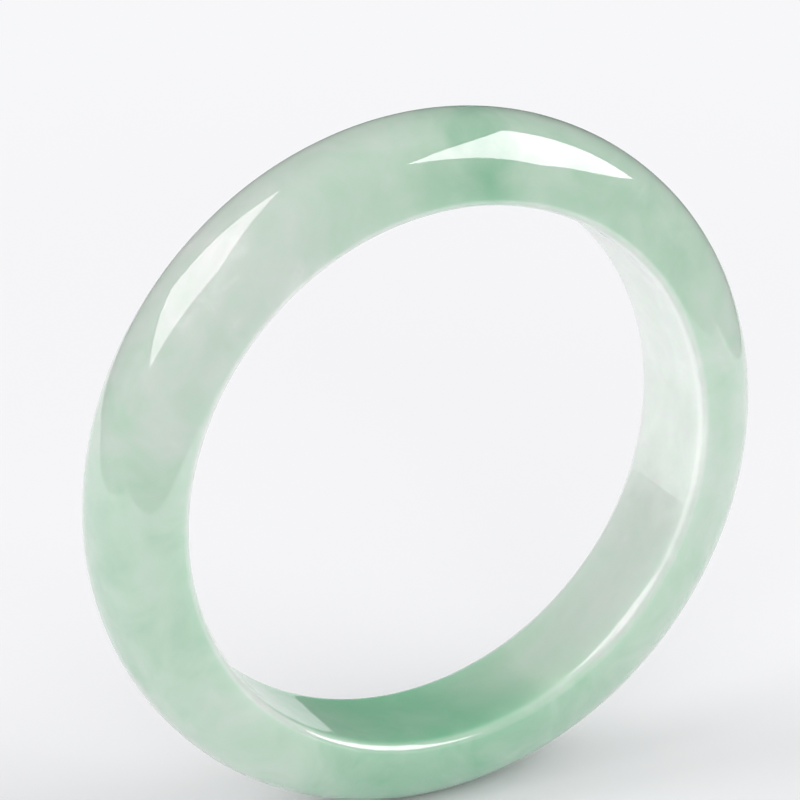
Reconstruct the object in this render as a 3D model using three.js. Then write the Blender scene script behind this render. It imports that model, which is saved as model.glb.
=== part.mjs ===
// A one-piece jade bangle: a closed, rigid ring of polished stone, flat inside and domed outside.
// It stands on its edge. The wrist axis is Y, Z is up, and the origin is the centre of the ring.
// All sizes are in millimetres.

import * as THREE from 'three';

// Driving dimensions
const INNER_DIAMETER = 56; // the wrist opening, between opposite points of the flat inner wall
const BAND_WIDTH = 12.2; // along the wrist axis
const BAND_THICKNESS = 8; // from the inner wall to the crown of the dome
const EDGE_ALONG_AXIS = 1.2; // the rounded inner edge, measured along the wrist axis
const EDGE_ACROSS = 0.85; // the rounded inner edge, measured away from the wrist axis
const REST_LAND = 0.6; // the flat ring on each side, on which the bangle lies down
const DOME_POWER = 2.25; // 2 would make the dome an ellipse, and more makes it squarer

// How finely the curves are divided
const STEPS_AROUND = 96; // a multiple of 4, so that the ring keeps its full height and length
const STEPS_OVER_DOME = 20;
const STEPS_ROUND_EDGE = 4;

const INNER_RADIUS = INNER_DIAMETER / 2;
const HALF_WIDTH = BAND_WIDTH / 2;
const LAND_INNER_RADIUS = INNER_RADIUS + EDGE_ACROSS;
const LAND_OUTER_RADIUS = LAND_INNER_RADIUS + REST_LAND;
const DOME_HEIGHT = INNER_RADIUS + BAND_THICKNESS - LAND_OUTER_RADIUS;

// The cosine or sine of a superellipse: the usual value, bent by the dome's power.
function bend(value) {
  return Math.sign(value) * Math.abs(value) ** (2 / DOME_POWER);
}

// The domed outer face, from the land at -Y over the crown to the land at +Y.
function domePoints() {
  const points = [];
  for (let step = 0; step <= STEPS_OVER_DOME; step += 1) {
    const angle = (Math.PI * step) / STEPS_OVER_DOME;
    const radius = LAND_OUTER_RADIUS + DOME_HEIGHT * bend(Math.sin(angle));
    points.push(new THREE.Vector2(radius, -HALF_WIDTH * bend(Math.cos(angle))));
  }
  return points;
}

// One rounded inner edge, a quarter of an ellipse from the land to the inner wall.
// side is 1 for the edge at +Y and -1 for the edge at -Y.
function edgePoints(side) {
  const points = [];
  for (let step = 0; step <= STEPS_ROUND_EDGE; step += 1) {
    const angle = (Math.PI / 2) * (step / STEPS_ROUND_EDGE);
    const radius = LAND_INNER_RADIUS - EDGE_ACROSS * Math.sin(angle);
    const along = HALF_WIDTH - EDGE_ALONG_AXIS * (1 - Math.cos(angle));
    points.push(new THREE.Vector2(radius, side * along));
  }
  return points;
}

// The band's section, closed on itself: x is the distance from the wrist axis and y runs along it.
// The flat inner wall and the two lands are the straight lines between its curved stretches.
function bandSection() {
  const section = [...domePoints(), ...edgePoints(1), ...edgePoints(-1).reverse()];
  section.push(section[0].clone());
  return section;
}

function jadeMaterial() {
  return new THREE.MeshStandardMaterial({ color: 0xb7d0bd, roughness: 0.1, metalness: 0 });
}

// The lathe turns the section about Y, which is the wrist axis.
function bangleRing() {
  const ring = new THREE.Mesh(new THREE.LatheGeometry(bandSection(), STEPS_AROUND), jadeMaterial());
  ring.name = 'bangle_ring';
  return ring;
}

const bangle = new THREE.Group();
bangle.add(bangleRing());

export default bangle;
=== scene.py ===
import math

import bpy
from mathutils import Matrix, Vector, noise


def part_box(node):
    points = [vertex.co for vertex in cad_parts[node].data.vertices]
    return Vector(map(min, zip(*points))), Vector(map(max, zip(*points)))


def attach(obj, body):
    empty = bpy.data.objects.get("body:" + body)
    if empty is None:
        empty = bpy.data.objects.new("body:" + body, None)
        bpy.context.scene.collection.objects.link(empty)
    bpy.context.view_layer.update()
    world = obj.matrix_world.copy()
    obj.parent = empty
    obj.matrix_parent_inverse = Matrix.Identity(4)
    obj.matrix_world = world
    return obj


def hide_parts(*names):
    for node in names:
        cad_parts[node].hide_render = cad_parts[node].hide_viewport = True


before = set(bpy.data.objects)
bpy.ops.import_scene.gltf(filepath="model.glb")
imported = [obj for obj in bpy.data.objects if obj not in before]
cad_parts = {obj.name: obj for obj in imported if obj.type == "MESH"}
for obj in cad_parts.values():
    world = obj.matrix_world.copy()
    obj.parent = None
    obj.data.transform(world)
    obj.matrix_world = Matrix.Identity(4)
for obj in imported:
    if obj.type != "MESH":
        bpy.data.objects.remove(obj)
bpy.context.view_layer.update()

MM = 0.001  # metres in a millimetre

# ---------------------------------------------------------------- the CAD frame
RING_LOW, RING_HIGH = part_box("bangle_ring")
CENTRE = (RING_LOW + RING_HIGH) / 2
FLOOR_Z = RING_LOW.z
OUTER_RADIUS = (RING_HIGH.z - RING_LOW.z) / 2
HALF_WIDTH = (RING_HIGH.y - RING_LOW.y) / 2

# The rest of the band's section, as in the CAD model
INNER_RADIUS = 28.0 * MM
EDGE_ALONG_AXIS = 1.2 * MM
EDGE_ACROSS = 0.85 * MM
REST_LAND = 0.6 * MM
DOME_POWER = 2.25


# ---------------------------------------------------------------- the camera
CAMERA_AZIMUTH = -27.88  # degrees from -Y towards +X
CAMERA_ELEVATION = 24.14
CAMERA_DISTANCE = 397.1 * MM
CAMERA_LENS = 181.8  # millimetres
CAMERA_SENSOR = 36  # millimetres across
NEAREST_SEEN = 10 * MM
AIM_RIGHT = -2.54 * MM  # the aim point, measured from the ring's centre across the view
AIM_UP = 5.91 * MM


def direction(azimuth, elevation):
    """The unit vector that points that way from the origin: azimuth 0 is -Y and 90 is +X."""
    turn, rise = math.radians(azimuth), math.radians(elevation)
    level = math.cos(rise)
    return Vector((math.sin(turn) * level, -math.cos(turn) * level, math.sin(rise)))


def look(obj, target):
    obj.rotation_euler = (target - obj.location).to_track_quat("-Z", "Y").to_euler()


def make_camera():
    data = bpy.data.cameras.new("camera")
    data.lens = CAMERA_LENS
    data.sensor_width = CAMERA_SENSOR
    data.clip_start = NEAREST_SEEN
    camera = bpy.data.objects.new("camera", data)
    bpy.context.scene.collection.objects.link(camera)
    towards = direction(CAMERA_AZIMUTH, CAMERA_ELEVATION)
    camera.location = CENTRE + CAMERA_DISTANCE * towards
    right = Vector((0, 0, 1)).cross(towards).normalized()
    up = towards.cross(right)
    look(camera, CENTRE + AIM_RIGHT * right + AIM_UP * up)
    bpy.context.scene.camera = camera


# ---------------------------------------------------------------- the ring
STEPS_AROUND = 360
STEPS_OVER_DOME = 48
STEPS_ROUND_EDGE = 8
STEPS_OVER_LAND = 3
STEPS_OVER_WALL = 12
POLISH_WAVE = 0.02 * MM
POLISH_WAVELENGTH = 7.0 * MM


def bend(value):
    """Turns the cosine or sine of an angle into the dome's, which is a superellipse."""
    return math.copysign(abs(value) ** (2 / DOME_POWER), value)


def straight(start, end, steps):
    """Points from start up to but not including end."""
    return [start.lerp(end, step / steps) for step in range(steps)]


def dome_points():
    """The domed outer face from -Y to +Y, as (distance from the axis, place along it)."""
    foot = INNER_RADIUS + EDGE_ACROSS + REST_LAND
    points = []
    for step in range(STEPS_OVER_DOME):
        angle = math.pi * step / STEPS_OVER_DOME
        rise = (OUTER_RADIUS - foot) * bend(math.sin(angle))
        points.append(Vector((foot + rise, -HALF_WIDTH * bend(math.cos(angle)))))
    return points


def edge_points(side):
    """A rounded inner edge from the land to the wall, on the +Y side if side is 1 and -Y if -1."""
    points = []
    for step in range(STEPS_ROUND_EDGE + 1):
        angle = math.pi / 2 * step / STEPS_ROUND_EDGE
        radius = INNER_RADIUS + EDGE_ACROSS * (1 - math.sin(angle))
        along = HALF_WIDTH - EDGE_ALONG_AXIS * (1 - math.cos(angle))
        points.append(Vector((radius, side * along)))
    return points


def band_section():
    """The whole section, once round: dome, land, edge, wall, edge and land."""
    dome_foot = INNER_RADIUS + EDGE_ACROSS + REST_LAND
    far_edge, near_edge = edge_points(1), edge_points(-1)[::-1]
    section = dome_points()
    section += straight(Vector((dome_foot, HALF_WIDTH)), far_edge[0], STEPS_OVER_LAND)
    section += far_edge[:-1]
    section += straight(far_edge[-1], near_edge[0], STEPS_OVER_WALL)
    section += near_edge[:-1]
    section += straight(near_edge[-1], Vector((dome_foot, -HALF_WIDTH)), STEPS_OVER_LAND)
    return section


def outward(section):
    """The unit vector that points out of the stone at each point of the section."""
    count = len(section)
    steps = [section[(index + 1) % count] - section[index - 1] for index in range(count)]
    return [Vector((step.y, -step.x)).normalized() for step in steps]


def hand_polish(place):
    """How far the hand-polished surface stands proud of its true shape."""
    return POLISH_WAVE * noise.noise(place / POLISH_WAVELENGTH)


def make_ring():
    section = band_section()
    normals = outward(section)
    count = len(section)
    verts = []
    for turn in range(STEPS_AROUND):
        angle = 2 * math.pi * turn / STEPS_AROUND
        x, z = math.cos(angle), math.sin(angle)
        for point, normal in zip(section, normals):
            place = CENTRE + Vector((point.x * x, point.y, point.x * z))
            out = Vector((normal.x * x, normal.y, normal.x * z))
            verts.append(place + hand_polish(place) * out)
    faces = []
    for turn in range(STEPS_AROUND):
        here, there = turn * count, (turn + 1) % STEPS_AROUND * count
        for index in range(count):
            after = (index + 1) % count
            faces.append((here + index, here + after, there + after, there + index))
    mesh = bpy.data.meshes.new("jade_ring")
    mesh.from_pydata(verts, [], faces)
    mesh.validate()
    mesh.update()
    mesh.shade_smooth()
    ring = bpy.data.objects.new("jade_ring", mesh)
    bpy.context.scene.collection.objects.link(ring)
    return ring


# ---------------------------------------------------------------- materials
# How green the stone is round the ring, from 0 to 1, by the angle in degrees from +X towards +Z:
# on the dome and the lands, and then on the inner wall
GREEN_OUTSIDE = (
    (-180, 0.50), (-166, 0.58), (-152, 0.50), (-135, 0.45), (-122, 0.61), (-108, 0.79),
    (-97, 0.86), (-86, 0.86), (-77, 0.80), (-66, 0.68), (-48, 0.55), (-30, 0.46), (-12, 0.40),
    (8, 0.39), (30, 0.52), (50, 0.52), (66, 0.47), (75, 0.56), (82, 0.84), (89, 0.57),
    (102, 0.45), (116, 0.35), (134, 0.30), (150, 0.34), (165, 0.44), (180, 0.50),
)
GREEN_INSIDE = (
    (-180, 0.45), (-150, 0.40), (-128, 0.72), (-112, 0.92), (-100, 1.00), (-86, 1.00),
    (-77, 0.82), (-66, 0.52), (-50, 0.33), (-34, 0.29), (-16, 0.20), (10, 0.02), (40, 0.00),
    (80, 0.60), (110, 0.35), (140, 0.20), (180, 0.45),
)
# The stone's colour, by how green it is
PALEST = (0.78, 0.81, 0.78)
MILKY = (0.57, 0.62, 0.578)
ICY = (0.45, 0.58, 0.48)
GREEN = (0.19, 0.42, 0.27)
STONE = ((0.0, PALEST), (0.25, MILKY), (0.5, ICY), (1.0, GREEN))

DRIFT = 14 * MM  # the zones wander by up to half of this each way, over about this distance
DRIFT_DETAIL = 2.0
CLOUD_SIZE = 9 * MM
CLOUD_DETAIL = 3.0
CLOUD_PLACE = 3.0  # which part of the noise the clouds come from
CLOUD_STRENGTH = 0.45
WISP_SIZE = 3 * MM
WISP_DETAIL = 5.0
WISP_PLACE = 7.0
WISP_STRENGTH = 0.42

PAINTED_EDGE_LIGHT = 0.22  # painted light: how much less green, so paler, the stone is painted along the two inner edges, for the light through the thin stone there
PAINTED_EDGE_LIGHT_FULL = 0.4 * MM  # and the distances from the corner that the edge was rounded from
PAINTED_EDGE_LIGHT_END = 1.0 * MM  # between which that fades out
INSIDE_BLEND = 0.4 * MM  # the inner wall's colour turns into the outside's over this distance
INSIDE_CONTRAST = 0.5  # how strong the clouds and wisps are on the inner wall, beside the outside
INSIDE_PAINTED_LIGHT = 1.10  # painted light: how much brighter the stone is painted on the inner wall, in place of the light that reaches it through the stone
INSIDE_POLISH = 0.80  # the inner wall is less highly polished than the dome
INSIDE_POLISH_END = 0.03 * MM  # the polish changes between these two distances from the wall
FULL_POLISH_START = 0.12 * MM


class Nodes:
    """Short ways to add nodes to one material or world."""

    def __init__(self, owner):
        owner.use_nodes = True
        self.tree = owner.node_tree

    def add(self, kind, inputs=None, **settings):
        node = self.tree.nodes.new("ShaderNode" + kind)
        for name, value in settings.items():
            setattr(node, name, value)
        for name, value in (inputs or {}).items():
            if isinstance(value, bpy.types.NodeSocket):
                self.tree.links.new(value, node.inputs[name])
            else:
                node.inputs[name].default_value = value
        return node

    def math(self, operation, first, second=0.0, third=0.0):
        return self.add("Math", {0: first, 1: second, 2: third}, operation=operation).outputs[0]

    def length(self, vector):
        return self.add("VectorMath", {0: vector}, operation="LENGTH").outputs["Value"]

    def between(self, value, start, end, low=0.0, high=1.0, interpolation="SMOOTHSTEP"):
        """Goes from low to high as value goes from start to end."""
        inputs = {"Value": value, "From Min": start, "From Max": end, "To Min": low, "To Max": high}
        return self.add("MapRange", inputs, interpolation_type=interpolation).outputs["Result"]

    def noise(self, place, size, detail, shift):
        """Smooth noise about 0, with features of that size in metres."""
        inputs = {"Vector": place, "W": shift, "Scale": 1 / size, "Detail": detail}
        made = self.add("TexNoise", inputs, noise_dimensions="4D")
        return self.math("SUBTRACT", made.outputs["Fac"], 0.5)

    def ramp(self, value, stops, interpolation="LINEAR"):
        """The colour at value, from stops of (position, colour) in rising order."""
        made = self.add("ValToRGB", {"Fac": value})
        ramp = made.color_ramp
        ramp.interpolation = interpolation
        while len(ramp.elements) < len(stops):
            ramp.elements.new(0.5)
        for element, (position, colour) in zip(ramp.elements, stops):
            element.position = position
            element.color = (*colour, 1)
        return made.outputs["Color"]


def wander(make, place):
    """The place moved about smoothly, so that no zone ends in a straight line."""
    inputs = {"Vector": place, "Scale": 1 / DRIFT, "Detail": DRIFT_DETAIL}
    drift = make.add("TexNoise", inputs).outputs["Color"]
    drift = make.add("VectorMath", {0: drift, 1: (0.5, 0.5, 0.5)}, operation="SUBTRACT").outputs[0]
    drift = make.add("VectorMath", {0: drift, "Scale": DRIFT}, operation="SCALE").outputs[0]
    return make.add("VectorMath", {0: place, 1: drift}, operation="ADD").outputs[0]


def zones_round_ring(make, place, outside):
    """How green the zones are there, where outside is 0 on the inner wall and 1 on the rest."""
    parts = make.add("SeparateXYZ", {0: place}).outputs
    angle = make.math("ARCTAN2", parts["Z"], parts["X"])
    turn = make.math("MULTIPLY_ADD", angle, 0.5 / math.pi, 0.5)  # 0 at -180 degrees, 1 at 180
    rings = []
    for zones in (GREEN_INSIDE, GREEN_OUTSIDE):
        stops = [((degrees + 180) / 360, (green,) * 3) for degrees, green in zones]
        rings.append(make.ramp(turn, stops, "B_SPLINE"))
    return make.add("Mix", {0: outside, 2: rings[0], 3: rings[1]}).outputs[0]


def jade():
    """Translucent jade: milky, icy and green stone in zones round the ring, under a clear polish."""
    material = bpy.data.materials.new("jade")
    make = Nodes(material)
    place = make.add("TexCoord").outputs["Object"]
    parts = make.add("SeparateXYZ", {0: place}).outputs
    radius = make.length(make.add("CombineXYZ", {"X": parts["X"], "Y": parts["Z"]}).outputs[0])
    outside = make.between(radius, INNER_RADIUS, INNER_RADIUS + INSIDE_BLEND)

    drifted = wander(make, place)
    zones = zones_round_ring(make, drifted, outside)
    clouds = make.noise(drifted, CLOUD_SIZE, CLOUD_DETAIL, CLOUD_PLACE)
    wisps = make.noise(drifted, WISP_SIZE, WISP_DETAIL, WISP_PLACE)
    wisps = make.math("MULTIPLY", wisps, WISP_STRENGTH)
    mottle = make.math("MULTIPLY_ADD", clouds, CLOUD_STRENGTH, wisps)
    contrast = make.math("MULTIPLY_ADD", outside, 1 - INSIDE_CONTRAST, INSIDE_CONTRAST)
    greenness = make.math("MULTIPLY_ADD", mottle, contrast, zones)

    # painted light: the stone is painted paler along the two inner edges, in place of the light that
    # passes through the thin stone there
    corner = make.add("CombineXYZ", {
        "X": make.math("SUBTRACT", radius, INNER_RADIUS),
        "Y": make.math("SUBTRACT", make.math("ABSOLUTE", parts["Y"]), HALF_WIDTH),
    }).outputs[0]
    painted_edge_light = make.between(make.length(corner), PAINTED_EDGE_LIGHT_FULL, PAINTED_EDGE_LIGHT_END, PAINTED_EDGE_LIGHT, 0.0)
    greenness = make.math("SUBTRACT", greenness, painted_edge_light)
    # painted light: the inner wall's colour is scaled brighter, for the light that reaches it through
    # the stone
    wall_painted_light = make.math("MULTIPLY_ADD", outside, 1 - INSIDE_PAINTED_LIGHT, INSIDE_PAINTED_LIGHT)
    painted_light_colour = {0: make.ramp(greenness, STONE), "Scale": wall_painted_light}
    colour = make.add("VectorMath", painted_light_colour, operation="SCALE").outputs[0]
    polish = make.between(radius, INNER_RADIUS + INSIDE_POLISH_END, INNER_RADIUS + FULL_POLISH_START,
                          INSIDE_POLISH, 1.0, "LINEAR")

    shader = make.tree.nodes["Principled BSDF"]
    make.tree.links.new(colour, shader.inputs["Base Color"])
    shader.inputs["Roughness"].default_value = 0.35
    shader.inputs["IOR"].default_value = 1.4
    shader.inputs["Specular IOR Level"].default_value = 0.0
    shader.inputs["Subsurface Weight"].default_value = 1.0
    shader.inputs["Subsurface Radius"].default_value = (0.7, 1.0, 0.8)
    shader.inputs["Subsurface Scale"].default_value = 6 * MM
    shader.inputs["Transmission Weight"].default_value = 0.15
    make.tree.links.new(polish, shader.inputs["Coat Weight"])
    shader.inputs["Coat Roughness"].default_value = 0.02
    shader.inputs["Coat IOR"].default_value = 1.66
    return material


# ---------------------------------------------------------------- the studio
PAPER = (0.835, 0.832, 0.85)
PAPER_PAINTED_SHADE = 0.93  # how bright the paper is painted on the camera's side, beside the far side: painted shade for light that falls off towards the front
PAINTED_SHADE_SPAN = (-40 * MM, 10 * MM)  # the painted shade darkens it between these places on the way to the camera
PALE = (0.93, 0.93, 0.947)  # the even tone of the surroundings
PAPER_FADES = (60 * MM, 250 * MM)  # the paper turns into them between these distances
AMBIENT = 0.70  # how bright the surroundings are to the stone
ROOM = 0.03  # and how bright they are in its polish

CLOTH = (1.0, 0.84, 0.95)  # tinted so that its mirror image over green stone comes out near white
CLOTH_EDGE = 0.75  # how bright the corners of the cloth are beside its middle
CLOTH_CORNER = 0.7  # how far a corner is from the middle, when the cloth is 1 wide and 1 high
FILL_RADIANCE = 2.6
FILL_SIZE = 1.0
FILL_DISTANCE = 1.0
FILL_AZIMUTH = -31
FILL_ELEVATION = 8
# Corners of the white board that the polish mirrors, in metres
BOARD_LOW = (-0.215, -0.105)
BOARD_HIGH = (0.170, 0.310)
FLOOR_LOW = (-3, -3)
FLOOR_HIGH = (3, 3)
BOARD_ABOVE_FLOOR = 0.01 * MM


def paper():
    """White paper near the object, with painted shade on the camera's side of the ring, which turns
    into the even pale tone of the room further out.
    """
    material = bpy.data.materials.new("paper")
    make = Nodes(material)
    place = make.add("TexCoord").outputs["Object"]
    # painted shade: the paper's colour darkens towards the camera's side, in place of light that
    # falls off there
    to_camera = {0: place, 1: direction(CAMERA_AZIMUTH, 0)}
    ahead = make.add("VectorMath", to_camera, operation="DOT_PRODUCT").outputs["Value"]
    painted_shade_paper = [PAPER_PAINTED_SHADE * part for part in PAPER]
    shade = make.ramp(make.between(ahead, *PAINTED_SHADE_SPAN), ((0.0, PAPER), (1.0, painted_shade_paper)))
    shader = make.tree.nodes["Principled BSDF"]
    make.tree.links.new(shade, shader.inputs["Base Color"])
    shader.inputs["Roughness"].default_value = 0.9
    shader.inputs["Specular IOR Level"].default_value = 0.0
    far = make.add("Emission", {"Color": (*PALE, 1)}).outputs["Emission"]
    fade = make.between(make.length(place), *PAPER_FADES)
    mix = make.add("MixShader", {"Fac": fade, 1: shader.outputs["BSDF"], 2: far}).outputs["Shader"]
    make.tree.links.new(mix, make.tree.nodes["Material Output"].inputs["Surface"])
    return material


def glow(radiance):
    """The lit cloth of a softbox: brightest in the middle."""
    material = bpy.data.materials.new("softbox_cloth")
    make = Nodes(material)
    place = make.add("TexCoord").outputs["Generated"]
    from_middle = make.add("VectorMath", {0: place, 1: (0.5, 0.5, 0.0)}, operation="SUBTRACT")
    away = make.length(from_middle.outputs[0])
    bright = make.between(away, 0.0, CLOTH_CORNER, radiance, CLOTH_EDGE * radiance)
    shader = make.add("Emission", {"Color": (*CLOTH, 1), "Strength": bright})
    surface = make.tree.nodes["Material Output"].inputs["Surface"]
    make.tree.links.new(shader.outputs["Emission"], surface)
    return material


def sheet(name, low, high, z, material):
    """A flat rectangle between two opposite corners."""
    corners = [(low[0], low[1], z), (high[0], low[1], z), (high[0], high[1], z), (low[0], high[1], z)]
    mesh = bpy.data.meshes.new(name)
    mesh.from_pydata(corners, [], [(0, 1, 2, 3)])
    mesh.materials.append(material)
    return bpy.data.objects.new(name, mesh)


def flat(name, low, high, z, material):
    """A rectangle that lies level, as part of the setting."""
    plane = sheet(name, low, high, z, material)
    bpy.context.scene.collection.objects.link(plane)
    return plane


def show_in_polish_only(obj):
    obj.visible_camera = False
    obj.visible_diffuse = False
    obj.visible_shadow = False
    obj.visible_transmission = False


def lamp_panel(name, width, height, radiance):
    """A lamp that lights the stone and isn't mirrored in its polish."""
    data = bpy.data.lights.new(name, "AREA")
    data.shape = "RECTANGLE"
    data.size, data.size_y = width, height
    data.energy = radiance * math.pi * width * height
    lamp = bpy.data.objects.new(name, data)
    lamp.visible_camera = False
    lamp.visible_glossy = False
    bpy.context.scene.collection.objects.link(lamp)
    return lamp


def softbox(name, azimuth, elevation, distance, width, height, turns, radiance, mirrored):
    """A softbox that faces the ring: a lamp, and the bright cloth that polished stone mirrors.
    turns are its roll, yaw and pitch in degrees, away from facing the ring squarely.
    radiance is the lamp's, and mirrored is the cloth's as the polish shows it."""
    low, high = (-width / 2, -height / 2), (width / 2, height / 2)
    cloth = sheet(name + "_cloth", low, high, 0, glow(mirrored))
    show_in_polish_only(cloth)
    lamp = lamp_panel(name, width, height, radiance)
    roll, yaw, pitch = (math.radians(turn) for turn in turns)
    place = CENTRE + distance * direction(azimuth, elevation)
    facing = (CENTRE - place).to_track_quat("-Z", "Y").to_matrix()
    turned = facing @ Matrix.Rotation(roll, 3, "Z")
    turned = turned @ Matrix.Rotation(pitch, 3, "X") @ Matrix.Rotation(yaw, 3, "Y")
    bpy.context.scene.collection.objects.link(cloth)
    for obj in (cloth, lamp):
        obj.location = place
        obj.rotation_euler = turned.to_euler()


def room():
    """Even pale surroundings that light the stone, but that its polish mirrors as a dim room."""
    world = bpy.data.worlds.new("room")
    bpy.context.scene.world = world
    make = Nodes(world)
    path = make.add("LightPath").outputs
    ambient = make.tree.nodes["Background"]
    ambient.inputs["Color"].default_value = (AMBIENT, AMBIENT, AMBIENT, 1)
    seen = ambient.outputs["Background"]
    for ray, colour in (("Is Glossy Ray", (ROOM, ROOM, ROOM)), ("Is Camera Ray", PALE)):
        other = make.add("Background", {"Color": (*colour, 1)}).outputs["Background"]
        seen = make.add("MixShader", {"Fac": path[ray], 1: seen, 2: other}).outputs["Shader"]
    make.tree.links.new(seen, make.tree.nodes["World Output"].inputs["Surface"])


def make_studio():
    cloth = paper()
    # the polish mirrors only the white board, and everything else sees only the wide floor
    board = flat("board", BOARD_LOW, BOARD_HIGH, FLOOR_Z, cloth)
    show_in_polish_only(board)
    floor = flat("floor", FLOOR_LOW, FLOOR_HIGH, FLOOR_Z - BOARD_ABOVE_FLOOR, cloth)
    floor.visible_glossy = False
    softbox("softbox_right", azimuth=58.8, elevation=33.0, distance=0.90, width=0.765, height=0.600,
            turns=(8.6, 4.4, -18.6), radiance=1.8, mirrored=9.7)
    softbox("softbox_left", azimuth=-106.0, elevation=43.8, distance=0.90, width=0.900, height=0.590,
            turns=(-12.6, -11.6, 8.5), radiance=1.5, mirrored=5.3)
    fill = lamp_panel("side_fill", FILL_SIZE, FILL_SIZE, FILL_RADIANCE)
    fill.location = CENTRE + FILL_DISTANCE * direction(FILL_AZIMUTH, FILL_ELEVATION)
    look(fill, CENTRE)
    room()


# ---------------------------------------------------------------- put together
make_camera()
ring = make_ring()
ring.data.materials.append(jade())
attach(ring, "root")
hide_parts("bangle_ring")
make_studio()
bpy.context.scene.view_settings.view_transform = "Standard"
